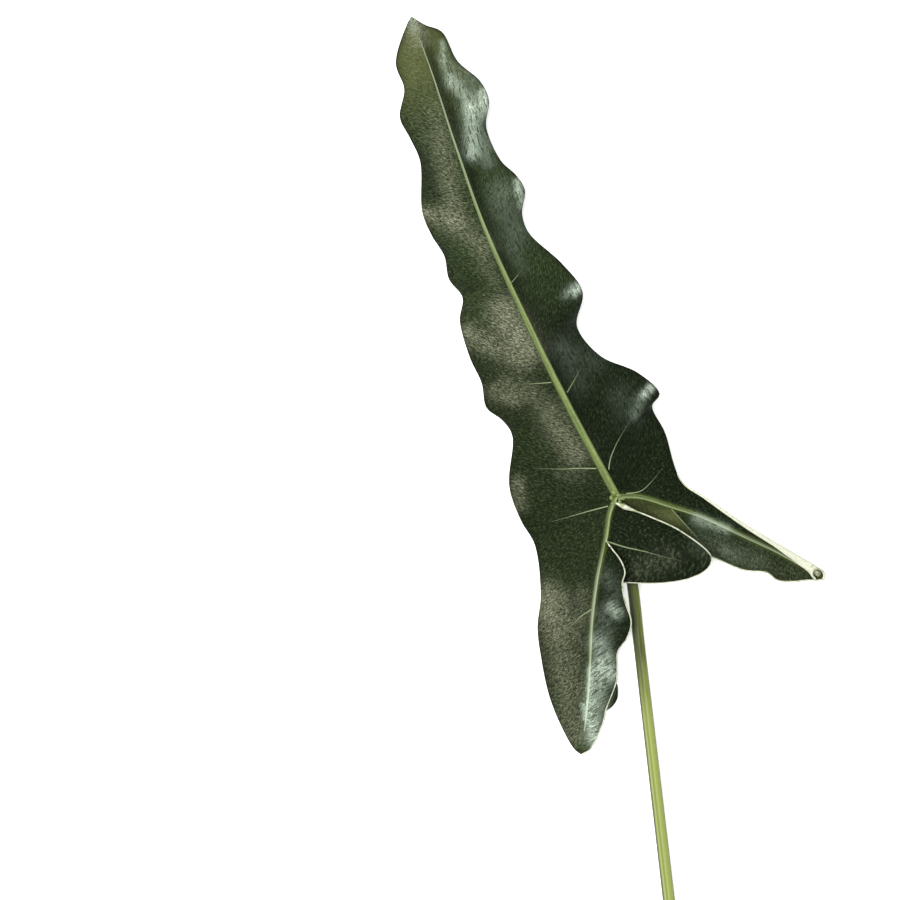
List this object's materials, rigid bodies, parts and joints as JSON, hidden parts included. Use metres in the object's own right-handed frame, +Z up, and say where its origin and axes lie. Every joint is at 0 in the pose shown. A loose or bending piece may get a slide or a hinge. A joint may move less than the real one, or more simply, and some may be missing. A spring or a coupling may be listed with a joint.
{
  "type": "philodendron leaf",
  "caption": "Arrow-shaped leathery leaf with waved margins, basal lobes, pale ribs and a long cut petiole, lying face up.",
  "frame": {"origin": "middle of the leaf's box in plan, on the surface that it lies on", "axes": "+Y from the cut end of the petiole towards the blade's tip, +Z up from the surface, out of the blade's upper face"},
  "size_m": [0.2576, 0.576, 0.0271],
  "materials": {
    "blade": "waxy satin, dark olive green with pale veins and a thin pale margin, paler underneath",
    "petiole": "satin, pale yellow-green, finely striped along its length"
  },
  "bodies": {
    "root": {"blade": "blade", "petiole_and_ribs": "petiole"}
  },
  "joints": []
}
